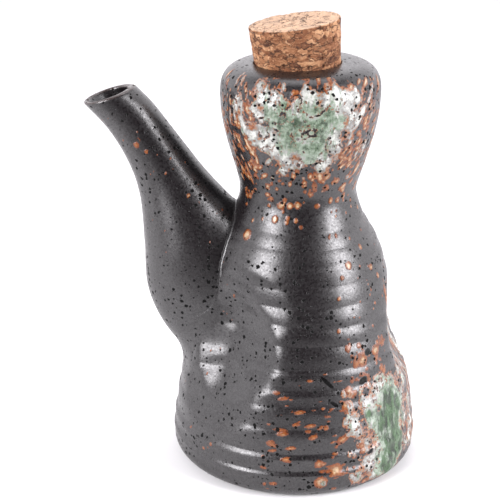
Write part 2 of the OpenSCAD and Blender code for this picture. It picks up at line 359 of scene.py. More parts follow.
rust_drops = (
    spray((2, 127), 190, (15, 27), (0.5, 1.5), (0.45, 0.9), stretch=2.4)
    + scattered(110, (-74, -34), (108, 145), (0.4, 0.9), (0.5, 1.1), (1.8, 4), (95, 130))
    + scattered(110, (34, 76), (110, 144), (0.4, 0.9), (0.5, 1.1), (1.8, 4), (20, 60))
    + scattered(26, (-45, 45), (141, 145), (0.35, 0.7), (0.45, 0.8), (1.5, 3), (70, 110))
    + scattered(26, (-60, 75), (101, 113), (0.5, 1.3), (0.5, 1.0), (1, 2), (20, 60))
    + scattered(24, (-60, 75), (92, 104), (0.5, 1.3), (0.5, 1.0))
    + scattered(60, (24, 80), (46, 92), (0.4, 1.2), (0.4, 0.9))
    + scattered(46, (26, 56), (36, 54), (0.7, 2.0), (0.45, 0.7))
    + scattered(50, (14, 40), (3, 38), (0.6, 1.8), (0.45, 0.8), (1, 2), (-15, 30))
    + scattered(46, (-14, 26), (4, 46), (0.5, 1.3), (0.4, 0.65), (1.5, 3.5), (-8, 12))
    + scattered(90, (68, 120), (6, 72), (0.6, 1.6), (0.5, 0.9), (2, 5), (82, 98))
    + scattered(110, (100, 320), (8, 142), (0.4, 1.0), (0.4, 0.8))
    + round_drops([
        (-9, 113, 1.0, 0.6), (14, 113, 1.0, 0.6), (24, 112, 1.5, 0.8), (35, 110, 1.5, 0.8),
        (-53, 102, 1.3, 0.8), (-26, 103, 1.3, 0.7), (-16, 101, 1.8, 0.8), (19, 101, 1.3, 0.7),
        (0, 101.5, 1.5, 0.9), (68, 106, 1.2, 0.8), (-9, 97, 1.2, 0.6), (-44, 89.5, 2.0, 0.9),
        (37, 81, 1.5, 0.9), (38, 48, 2.8, 0.8), (48, 50, 2.2, 0.9), (28, 39, 1.8, 0.8),
        (26, 34, 2.0, 0.8), (20, 11, 2.8, 0.9), (12, 14, 2.2, 0.7), (13, 7, 2.8, 0.9),
    ])
    + placed((azimuth, z, 2.6, 0.9, 0.1, 0.75) for azimuth, z in LONG_RUST)
)
# Bare black glaze in the splashes: azimuth in degrees, height, half length, half width, turn, strength
smears = placed([
    (17, 42.7, 4.0, 0.8, -0.8, 1.0), (20, 35, 2.6, 0.7, -0.6, 1.0), (42, 50.5, 1.5, 1.5, 0.0, 1.0),
    (37, 41, 2.2, 1.5, 0.4, 1.0), (12, 135, 1.6, 0.5, 0.1, 0.6), (10, 128, 2.4, 1.0, 0.0, 0.45),
    (-27, 133.5, 2.2, 0.9, 0.3, 0.5), (38, 15, 1.6, 0.8, 0.5, 0.9), (64, 16, 0.6, 3.0, 0.0, 0.9),
    (70, 24, 0.5, 3.0, 0.0, 0.9),
])


def splash(points, azimuth, z):
    """Fields of the splashed glaze on the body or head, and how far it stands out.

    flow is the thickness of the pale glaze from 0 to about 1, green how green it is, rust the thickness
    of the iron drops and bare where black shows through.
    """
    flow = 1.1 * (1 - np.exp(-laid(azimuth, z, pale_drops)))
    rust = laid(azimuth, z, rust_drops, np.maximum)
    green = laid(azimuth, z, green_lumps)
    bare = laid(azimuth, z, smears)
    grain = value_noise(points, 1.8) - 0.5
    relief = 0.2 * smooth_step(0.2, 0.5, flow) + 0.6 * smooth_step(0.4, 0.9, flow) * np.maximum(grain, -0.1)
    relief = np.maximum(relief, 0.18 * smooth_step(0.3, 0.7, rust))
    relief = relief * (1 - 0.6 * smooth_step(0.2, 0.6, bare))
    return {"flow": flow, "rust": rust, "green": green, "bare": bare}, relief


# ---------------- meshes

def piece(name, points, faces, material, body, node, fields=None):
    """A smooth-shaded mesh that stands for a CAD node, with its point attributes."""
    mesh = bpy.data.meshes.new(name)
    mesh.from_pydata((np.asarray(points) * MM).tolist(), [], faces)
    mesh.shade_smooth()
    for key, values in (fields or {}).items():
        attribute = mesh.attributes.new(key, "FLOAT", "POINT")
        attribute.data.foreach_set("value", np.asarray(values, np.float32))
    made = bpy.data.objects.new(name, mesh)
    bpy.context.scene.collection.objects.link(made)
    mesh.materials.append(material)
    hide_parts(node)
    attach(made, body)
    return made


def grid_faces(rows, columns, closed_rows=False):
    """Quads between successive rings of points; with closed_rows the last ring joins the first."""
    r = np.arange(rows if closed_rows else rows - 1)[:, None]
    c = np.arange(columns)[None, :]
    after = (c + 1) % columns
    below = (r + 1) % rows
    quads = np.stack(
        [r * columns + c, r * columns + after, below * columns + after, below * columns + c], -1
    )
    return quads.reshape(-1, 4).tolist()


def fans(rows, columns, first_pole, last_pole):
    """Triangles that close the first and last ring of a grid on two added poles."""
    made = []
    last = (rows - 1) * columns
    for c in range(columns):
        after = (c + 1) % columns
        made.append((first_pole, after, c))
        made.append((last_pole, last + c, last + after))
    return made


def turned(radius, azimuth, z):
    """Points at a radius, azimuth and height."""
    return np.stack([radius * np.sin(azimuth), -radius * np.cos(azimuth), z], -1)


def ring(radius, azimuth, z):
    """One level ring of points."""
    return turned(radius + 0 * azimuth, azimuth, z + 0 * azimuth)


def capped_solid(grid):
    """Points and faces of a ring grid closed by a pole at each end."""
    rows, columns = grid.shape[:2]
    points = grid.reshape(-1, 3)
    poles = np.array([grid[0].mean(0), grid[-1].mean(0)])
    faces = grid_faces(rows, columns) + fans(rows, columns, len(points), len(points) + 1)
    return np.concatenate([points, poles]), faces


def vertex_normals(grid):
    """Normals of a ring grid, from the neighbours of each point."""
    along = np.gradient(grid, axis=0)
    around = np.roll(grid, -1, 1) - np.roll(grid, 1, 1)
    n = np.cross(around, along)
    return n / np.maximum(np.linalg.norm(n, axis=-1, keepdims=True), 1e-9)


def make_body(material):
    """The lower vessel, hollow, with its foot ring and the pouring hole."""
    columns = 384
    azimuth = np.linspace(0, 2 * math.pi, columns, endpoint=False)
    foot_z = foot_round * (1 - np.cos(np.radians(np.arange(0, 90, 9))))
    side_z = np.linspace(foot_round, waist_z, 196)
    outer_z = np.concatenate([foot_z, side_z[:-1], [waist_z - crisp, waist_z]])
    a, z = np.meshgrid(azimuth, outer_z)
    outer = turned(body_radius(a, z), a, z)
    fields, relief = splash(outer, a, z)
    outer = turned(body_radius(a, z) + relief * smooth_step(0, 2, z), a, z)
    # underside: the ring that touches the table, then the hollow inside it
    under = [(foot_r - foot_ring_w / 2, 0), (foot_r - foot_ring_w + 0.5, 0), (foot_r - foot_ring_w, 0.4),
             (foot_r - foot_ring_w - 0.5, foot_recess), (foot_r / 2, foot_recess), (3.0, foot_recess)]
    bottom = np.array([ring(r, azimuth, h) for r, h in under[::-1]])
    # inside: down the wall, round the corner and over the floor
    inner_z = np.append([waist_z], np.linspace(waist_z - crisp, floor_z + floor_corner, 18))
    ai, zi = np.meshgrid(azimuth, inner_z)
    inner = turned(side_radius(zi) - dents(ai, zi) - wall, ai, zi)
    corner = []
    corner_z = floor_z + floor_corner
    corner_r = side_radius(np.array(corner_z)) - wall - dents(azimuth, np.full(columns, corner_z))
    for turn in np.radians([30, 60, 90]):
        r = corner_r - floor_corner * (1 - math.cos(turn))
        corner.append(ring(r, azimuth, floor_z + floor_corner * (1 - math.sin(turn))))
    floor = [ring(r, azimuth, floor_z) for r in (20.0, 3.0)]
    grid = np.concatenate([bottom, outer, inner, np.array(corner), np.array(floor)])
    points, faces = capped_solid(grid)
    before = len(bottom) * columns
    after = len(points) - before - a.size
    fields = {key: np.pad(values.ravel(), (before, after)) for key, values in fields.items()}
    made = piece("glazed_body", points, faces, material, "bottle", "body", fields)
    drill(made, pour_hole, pour_hole_r, pour_hole_length)
    return made


def drill(target, middle, radius, depth):
    """Cuts a round hole along X through the wall."""
    bpy.ops.mesh.primitive_cylinder_add(
        vertices=48, radius=radius * MM, depth=depth * MM, location=[c * MM for c in middle],
        rotation=(0, math.pi / 2, 0),
    )
    tool = bpy.context.object
    cut = target.modifiers.new("pouring hole", "BOOLEAN")
    cut.operation = "DIFFERENCE"
    cut.solver = "EXACT"
    cut.object = tool
    bpy.context.view_layer.objects.active = target
    with bpy.context.temp_override(object=target, active_object=target, selected_objects=[target]):
        bpy.ops.object.modifier_apply(modifier=cut.name)
    bpy.data.objects.remove(tool)


def make_head(material):
    """The hollow bulb above the waist, with its flat top and the mouth's bore."""
    columns = 320
    azimuth = np.linspace(0, 2 * math.pi, columns, endpoint=False)
    rim_round = 0.8
    bore_depth = 5.5
    bare_rows = 8             # rows next to the mouth without splashed glaze
    top_tilt = 0.02
    flat_r = mouth_r + rim_round
    heights = np.append([waist_z], np.linspace(waist_z + crisp, bulb_z, 76))
    side = [(head_radius(z), z) for z in heights]
    shoulder = [
        (flat_r + (bulb_r - flat_r) * math.cos(t) ** 0.7, bulb_z + (top_z - bulb_z) * math.sin(t) ** 0.7)
        for t in np.radians(np.linspace(3, 90, 30))[:-1]
    ]
    rim = [
        (flat_r - rim_round * math.sin(t), top_z - rim_round * (1 - math.cos(t)))
        for t in np.radians([0, 22, 45, 68, 90])
    ]
    bore_foot = top_z - bore_depth
    inner = [(mouth_r - 0.1, top_z - 3), (mouth_r - 0.3, bore_foot), (mouth_r + 2, bore_foot - 0.8)]
    inner += [(head_radius(z) - wall, z) for z in np.linspace(bulb_z + 1, waist_z + crisp, 20)]
    inner += [(head_radius(waist_z) - wall, waist_z)]
    profile = np.array(side + shoulder + rim + inner, float)
    a, z = np.meshgrid(azimuth, profile[:, 1])
    r = np.repeat(profile[:, :1], columns, 1)
    grid = turned(r, a, z)
    fields, relief = splash(grid, a, z)
    outside = (np.arange(len(profile)) < len(side) + len(shoulder) - bare_rows)[:, None]
    fields = {key: (values * outside).ravel() for key, values in fields.items()}
    relief = relief * outside
    grid = grid + vertex_normals(grid) * relief[..., None]
    # the mouth stands off the axis and leans, and the flat round it tilts
    inside = np.arange(len(profile))[:, None] >= len(side) + len(shoulder)
    near_mouth = np.where(inside, smooth_step(bulb_z - 8, bulb_z, z), smooth_step(22, flat_r, r))
    grid[..., 0] += near_mouth * (-mouth_shift + (top_z - z) * inside * math.tan(mouth_lean))
    grid[..., 2] += top_tilt * grid[..., 0] * smooth_step(bulb_z - 20, top_z, z)
    points = grid.reshape(-1, 3)
    faces = grid_faces(len(profile), columns, closed_rows=True)
    return piece("glazed_head", points, faces, material, "bottle", "head", fields)


# ---------------- spout and seam

STATIONS = [(i, row) for i, row in enumerate(SPOUT)]


def spout_points(s, angle, inset):
    """Points of the spout's skin at stations s and angles round it, moved in by inset."""
    values = curve(STATIONS, s)
    under, upper, half = values[..., 0:2], values[..., 2:4], values[..., 4]
    along = (upper - under) / np.linalg.norm(upper - under, axis=-1, keepdims=True)
    rim = lip_extra * smooth_step(1.4, 0, s) * smooth_step(0, lip_wall, inset)
    low = under + along * inset[..., None]
    high = upper - along * (inset + rim)[..., None]
    middle, arm = (low + high) / 2, (high - low) / 2
    x = middle[..., 0] + arm[..., 0] * np.cos(angle)
    z = middle[..., 1] + arm[..., 1] * np.cos(angle)
    return np.stack([x, (half - inset) * np.sin(angle), z], -1)


def wall_at(s):
    """Thickness of the spout's wall at station s."""
    return lip_wall + (root_wall - lip_wall) * s / (len(SPOUT) - 1)


def smooth_body(azimuth, z):
    """Radius of the body with its dents, but without rings or ledge."""
    return side_radius(z) - dents(azimuth, z)


def height_over_body(points):
    """How far points lie outside the body, level with them."""
    azimuth = np.arctan2(points[..., 0], -points[..., 1])
    return np.hypot(points[..., 0], points[..., 1]) - smooth_body(azimuth, points[..., 2])


def meeting_station(angle, inset_of):
    """Station at which the skin at each angle goes into the body."""
    stations = np.linspace(3, 8, 1201)
    s, a = np.meshgrid(stations, angle)
    over = height_over_body(spout_points(s, a, inset_of(s)))
    first = np.argmax(over < 0, axis=1)
    first = np.where((over < 0).any(1), first, len(stations) - 1)
    return stations[first]


def soften(values, passes):
    """Values round a ring, averaged with their neighbours."""
    for _ in range(passes):
        values = (np.roll(values, 1, 0) + 2 * values + np.roll(values, -1, 0)) / 4
    return values


def make_spout(material):
    """The tapering tube, open at its lip and at its root, where it goes a little way into the body."""
    columns = 128
    rows = 120
    into_body = 0.12          # stations
    angle = np.linspace(0, 2 * math.pi, columns, endpoint=False)
    outer_end = soften(meeting_station(angle, lambda s: 0 * s), 2) + into_body
    inner_end = soften(meeting_station(angle, wall_at), 2) + into_body
    t = np.linspace(0, 1, rows)[:, None]
    s_out = t * outer_end
    outer = spout_points(s_out, angle + 0 * s_out, 0 * s_out)
    s_in = (1 - t) * inner_end
    inner = spout_points(s_in, angle + 0 * s_in, wall_at(s_in))
    # rounded lip from the inside over to the outside
    start = np.zeros((1, columns))
    edge_out = spout_points(start, angle[None], start)[0]
    edge_in = spout_points(start, angle[None], start + lip_wall)[0]
    centre = edge_out.mean(0)
    further = spout_points(start + 0.25, angle[None], start)[0].mean(0)
    away = (centre - further) / np.linalg.norm(centre - further)
    lip = []
    middle, arm = (edge_out + edge_in) / 2, (edge_in - edge_out) / 2
    for turn in np.radians([30, 60, 90, 120, 150]):
        lip.append(middle + arm * math.cos(turn) + away * lip_wall * 0.5 * math.sin(turn))
    grid = np.concatenate([outer, inner, np.array(lip)])
    points = grid.reshape(-1, 3)
    faces = [f[::-1] for f in grid_faces(len(grid), columns, closed_rows=True)]
    edge = np.zeros(grid.shape[:2])
    edge[-len(lip):] = 1
    edge[[0, 2 * rows - 1]] = 0.4
    fields = {"rust": spout_rust(grid).ravel(), "edge": edge.ravel()}
    return piece("glazed_spout", points, faces, material, "bottle", "spout", fields)


def spout_rust(grid):
    """Rust drops near the lip of the spout, and a few further down."""
    rust = np.zeros(grid.shape[:2])
    strewn = [(rng.uniform(0.5, 2.6), rng.normal(-1.5, 0.45), rng.uniform(0.3, 0.7)) for _ in range(22)]
    strewn += [(rng.uniform(2.6, 6), rng.normal(-0.8, 0.6), rng.uniform(0.3, 0.7)) for _ in range(14)]
    cluster = [(1.6, -1.8, 1.7), (1.85, -1.6, 1.1), (1.45, -1.6, 0.7), (3.4, -1.1, 0.9)]
    for station, angle, size in strewn + cluster:
        middle = spout_points(np.array(station), np.array(angle), np.array(0.0))
        far = np.linalg.norm(grid - middle, axis=-1) / size
        rust += rng.uniform(0.45, 0.7) * np.exp(-1.2 * far**2)
    return rust


def make_seam(material):
    """The slip worked into the joint round the spout's root, broad below and thin on top."""
    columns = 192
    least = 0.9               # how far the slip reaches over spout and body on top
    sunk = 0.8                # how deep its hidden side lies in them
    step = 0.02
    angle = np.linspace(0, 2 * math.pi, columns, endpoint=False)
    flat = np.zeros(columns)
    meet = soften(meeting_station(angle, lambda s: 0 * s), 3)
    joint = spout_points(meet, angle, flat)
    down = spout_points(meet + step, angle, flat) - spout_points(meet - step, angle, flat)
    round_way = spout_points(meet, angle + step, flat) - spout_points(meet, angle - step, flat)
    spout_out = unit(np.cross(down, round_way))
    spout_out *= np.sign((spout_out * (joint - spout_middle(meet))).sum(-1, keepdims=True))
    body_out = unit(body_normal(joint))
    away = unit(spout_out - body_out * (spout_out * body_out).sum(-1, keepdims=True))
    low = (1 - np.cos(angle)) / 2  # 0 on top, 1 below
    reach_up = least + 9 * smooth_step(0.45, 1, low)
    reach_out = least + 7 * smooth_step(0.4, 1, low)
    start = back_along_spout(meet, angle, reach_up)
    end = on_body(joint + away * reach_out[:, None], -0.06)
    rows = []
    for t in np.linspace(0, 1, 15):
        rows.append(start * (1 - t) ** 2 + joint * 2 * t * (1 - t) + end * t**2)
    rows.append(on_body(end, -sunk))
    rows.append(on_body(joint, -sunk) - spout_out * sunk)
    rows.append(start - spout_out * sunk)
    grid = np.array(rows)
    faces = grid_faces(len(rows), columns, closed_rows=True)
    return piece("slip_seam", grid.reshape(-1, 3), faces, material, "bottle", "spout_seam")


def unit(v):
    """Vectors of length 1 in the same directions."""
    return v / np.maximum(np.linalg.norm(v, axis=-1, keepdims=True), 1e-9)


def spout_middle(s):
    """The spout's middle line at station s."""
    around = np.linspace(0, 2 * math.pi, 12, endpoint=False)
    return np.mean([spout_points(s, a + 0 * s, 0 * s) for a in around], axis=0)


def back_along_spout(meet, angle, reach):
    """Points of the spout's skin that lie reach millimetres back from where it meets the body."""
    stations = np.linspace(0, 1.6, 81)[:, None]
    s = meet[None] - stations
    line = spout_points(s, angle + 0 * s, 0 * s)
    steps = np.linalg.norm(np.diff(line, axis=0), axis=-1)
    run = np.concatenate([np.zeros((1, len(angle))), np.cumsum(steps, 0)])
    found = np.argmin(np.abs(run - reach[None]), axis=0)
    return line[found, np.arange(len(angle))]


def on_body(points, lift):
    """Points moved straight in or out to the body's finished skin, and lift further."""
    azimuth = np.arctan2(points[..., 0], -points[..., 1])
    return turned(body_radius(azimuth, points[..., 2]) + lift, azimuth, points[..., 2])


def body_normal(points):
    """Outward directions of the body's skin, without its rings."""
    azimuth = np.arctan2(points[..., 0], -points[..., 1])
    z = points[..., 2]
    step = 0.4
    r = smooth_body(azimuth, z)
    slope_z = (smooth_body(azimuth, z + step) - smooth_body(azimuth, z - step)) / (2 * step)
    turn = step / np.maximum(r, 1)
    slope_a = (smooth_body(azimuth + turn, z) - smooth_body(azimuth - turn, z)) / (2 * step)
    out = turned(np.ones_like(z), azimuth, 0 * z)
    side = np.stack([np.cos(azimuth), np.sin(azimuth), 0 * z], -1)
    up = np.array([0, 0, 1.0])
    return out - side * slope_a[..., None] - up * slope_z[..., None]


# ---------------- cork

def make_cork(material):
    """The tapered stopper of pressed cork granules. Its own zero height is the mouth's rim."""
    columns = 256
    end_rows = 34
    granules = 2600
    pit_count = 60
    slant = math.tan(math.radians(2))
    azimuth = np.linspace(0, 2 * math.pi, columns, endpoint=False)
    rim_r = mouth_r - cork_gap
    top_r = rim_r + cork_out * cork_taper
    low_r = rim_r - cork_in * cork_taper
    profile = [(low_r * s, -cork_in) for s in (0.05, 0.35, 0.7, 0.94)]
    profile += [(low_r - 0.15, -cork_in + 0.15)]
    profile += [(rim_r + z * cork_taper, z) for z in np.linspace(-cork_in + 0.6, cork_out - 0.7, 80)]
    profile += [(top_r - 0.12, cork_out - 0.3), (top_r - 0.4, cork_out - 0.08)]
    profile += [(top_r * s, cork_out) for s in np.linspace(0.96, 0.03, end_rows)]
    profile = np.array(profile)
    a, z = np.meshgrid(azimuth, profile[:, 1])
    r = np.repeat(profile[:, :1], columns, 1)
    grid = turned(r, a, z)
    shape = grid.shape
    flat = grid.reshape(-1, 3)
    # each granule has its own level and tone, with a fine crack round it
    seeds = rng.uniform((-17.5, -17.5, -22), (17.5, 17.5, 20), (granules, 3))
    tree = KDTree(len(seeds))
    for i, seed in enumerate(seeds):
        tree.insert(seed, i)
    tree.balance()
    bend = np.stack([value_noise(flat + k * 31, 2.5) - 0.5 for k in range(3)], -1)
    bent = flat * (1, 1, 1.35) + 1.6 * bend
    found = [tree.find_n(p, 2) for p in bent]
    crack = np.array([f[1][2] - f[0][2] for f in found])
    tone_of = rng.random(len(seeds))
    tone = tone_of[[f[0][1] for f in found]]
    lift = (tone - 0.5) * 0.2 - 0.3 * np.exp(-((crack / 0.2) ** 2))
    pits = np.zeros(len(flat))
    for _ in range(pit_count):
        spot = flat[rng.integers(len(flat))]
        size = 0.25 + 0.55 * rng.random() ** 2
        far = np.linalg.norm((flat - spot) * (1, 1, rng.uniform(0.6, 1.6)), axis=-1) / size
        pits = np.maximum(pits, np.exp(-(far**4)))
    lift -= pits * 0.55
    # chips out of the top edge
    rim = np.exp(-(((flat[:, 2] - cork_out) / 1.2) ** 2))
    rim = rim * smooth_step(top_r - 1.6, top_r, np.hypot(flat[:, 0], flat[:, 1]))
    chips = smooth_step(0.55, 0.85, value_noise(flat, 3.0)) * rim
    lift -= chips * 0.9
    normals = vertex_normals(grid).reshape(-1, 3)
    flat = flat + normals * lift[:, None]
    # the top is cut a little aslant
    flat[:, 2] += flat[:, 0] * slant * smooth_step(4, cork_out, flat[:, 2])
    points, faces = capped_solid(flat.reshape(shape))
    lean = Matrix.Rotation(-mouth_lean, 3, "Y")
    points = points @ np.array(lean).T + (-mouth_shift, 0, top_z)
    # rows of the flat top, which the material paints paler, partly as a cut face and partly as painted light
    # from above
    end = np.broadcast_to(np.arange(shape[0])[:, None] >= shape[0] - end_rows - 1, shape[:2])
    # the last two values are those of the low and the high pole
    fields = {
        "end": np.append(end.ravel(), [0.0, 1.0]),
        "tone": np.append(tone, [0.0, 0.0]),
        "pit": np.append(np.maximum(pits, chips * 0.5), [0.0, 0.0]),
    }
    return piece("cork_stopper", points, faces, material, "cork", "stopper", fields)


# ---------------- materials

class Graph:
    """Short calls for building one material's node tree. Lengths in its noises are millimetres."""

    def __init__(self, name):
        self.material = bpy.data.materials.new(name)
        self.material.use_nodes = True
        self.tree = self.material.node_tree
        self.tree.nodes.clear()
        self.place = self.vector("MULTIPLY", self.node("TexCoord").outputs["Object"], (1 / MM,) * 3)

    def node(self, kind, inputs=None, **settings):
        """A node with its inputs linked or set, each input by name or number."""
        made = self.tree.nodes.new("ShaderNode" + kind)
        for key, value in settings.items():
            setattr(made, key, value)
        for key, value in (inputs or {}).items():
            if isinstance(value, bpy.types.NodeSocket):
                self.tree.links.new(value, made.inputs[key])
            else:
                made.inputs[key].default_value = value
        return made

    def calc(self, operation, a, b=0.0):
        return self.node("Math", {0: a, 1: b}, operation=operation).outputs[0]

    def times(self, a, b):
        return self.calc("MULTIPLY", a, b)

    def vector(self, operation, a, b):
        return self.node("VectorMath", {0: a, 1: b}, operation=operation).outputs[0]

    def noise(self, size, detail=3.0, rough=0.55, place=None, seed=0.0):
        """Noise from about 0 to 1 with lumps of about size millimetres; seed picks the pattern."""
        inputs = {
            "Vector": place or self.place, "W": seed, "Scale": 1 / size, "Detail": detail, "Roughness": rough,
        }
        return self.node("TexNoise", inputs, noise_dimensions="4D").outputs["Fac"]

    def cells(self, size, feature="F1", place=None):
        """Irregular cells about size millimetres across."""
        return self.node("TexVoronoi", {"Vector": place or self.place, "Scale": 1 / size}, feature=feature)

    def field(self, name):
        """A point attribute of the mesh, 0 where the mesh has none of that name."""
        return self.node("Attribute", attribute_name=name).outputs["Fac"]

    def step(self, value, low, high, out_low=0.0, out_high=1.0):
        """Smooth step of value from low to high."""
        made = self.node("MapRange", {"Value": value, "From Min": low, "From Max": high,
                                      "To Min": out_low, "To Max": out_high}, interpolation_type="SMOOTHSTEP")
        return made.outputs[0]

    def ramp(self, value, stops):
        """Colour from stops of (position, colour)."""
        made = self.node("ValToRGB", {"Fac": value})
        elements = made.color_ramp.elements
        for i, (position, colour) in enumerate(stops):
            element = elements[i] if i < 2 else elements.new(position)
            element.position = position
            element.color = (*colour, 1)
        return made.outputs["Color"]

    def mix(self, factor, a, b):
        """Colour a where factor is 0 and colour b where it is 1."""
        a = (*a, 1) if isinstance(a, tuple) else a
        b = (*b, 1) if isinstance(b, tuple) else b
        made = self.node("Mix", {0: factor, 6: a, 7: b}, data_type="RGBA", clamp_factor=True)
        return made.outputs[2]

    def bump(self, height, strength, distance, below=None):
        """Relief of a height field, on top of the relief below it."""
        inputs = {"Height": height, "Strength": strength, "Distance": distance * MM}
        if below is not None:
            inputs["Normal"] = below
        return self.node("Bump", inputs).outputs["Normal"]

    def finish(self, colour, roughness, normal, **others):
        """Joins the shader to the output and hands back the material."""
        inputs = {"Base Color": colour, "Roughness": roughness, **others}
        if normal is not None:
            inputs["Normal"] = normal
        shader = self.node("BsdfPrincipled", inputs)
        output = self.node("OutputMaterial")
        self.tree.links.new(shader.outputs[0], output.inputs["Surface"])
        return self.material


CHARCOAL = (0.0036, 0.0022, 0.0028)
CHARCOAL_PALE = (0.0075, 0.0052, 0.0062)
BLACK = (0.001, 0.001, 0.001)
RUST_DARK = (0.062, 0.017, 0.006)
RUST = (0.19, 0.042, 0.006)
RUST_PALE = (0.27, 0.090, 0.020)
# cream only for the painted highlights in the middles of the thickest iron drops
CREAM_HIGHLIGHT = (0.52, 0.37, 0.22)
WHITE = (0.56, 0.57, 0.53)
TAN = (0.26, 0.165, 0.105)
GREY = (0.17, 0.165, 0.155)
PALE_GREY = (0.31, 0.31, 0.29)
SAGE_DARK = (0.045, 0.068, 0.042)
SAGE = (0.14, 0.195, 0.13)
SAGE_PALE = (0.26, 0.32, 0.25)
GREEN = (0.034, 0.080, 0.028)
GREEN_DEEP = (0.008, 0.020, 0.007)
GREEN_PALE = (0.085, 0.150, 0.075)
LIP_BROWN = (0.05, 0.026, 0.02)
GLAZE_IOR = 1.74

CORK_TONES = [
    (0.15, (0.085, 0.027, 0.011)), (0.35, (0.20, 0.073, 0.029)), (0.6, (0.32, 0.14, 0.062)),
    (0.9, (0.56, 0.31, 0.165)),
]
CORK_DARK = (0.12, 0.038, 0.015)
CORK_FLECK = (0.58, 0.33, 0.17)
# paler colour of the flat top: partly its cut face and partly painted light falling from above
CORK_END_LIT = (0.75, 0.53, 0.37)
CORK_CRACK = (0.035, 0.012, 0.006)
CORK_HOLLOW = (0.05, 0.017, 0.009)


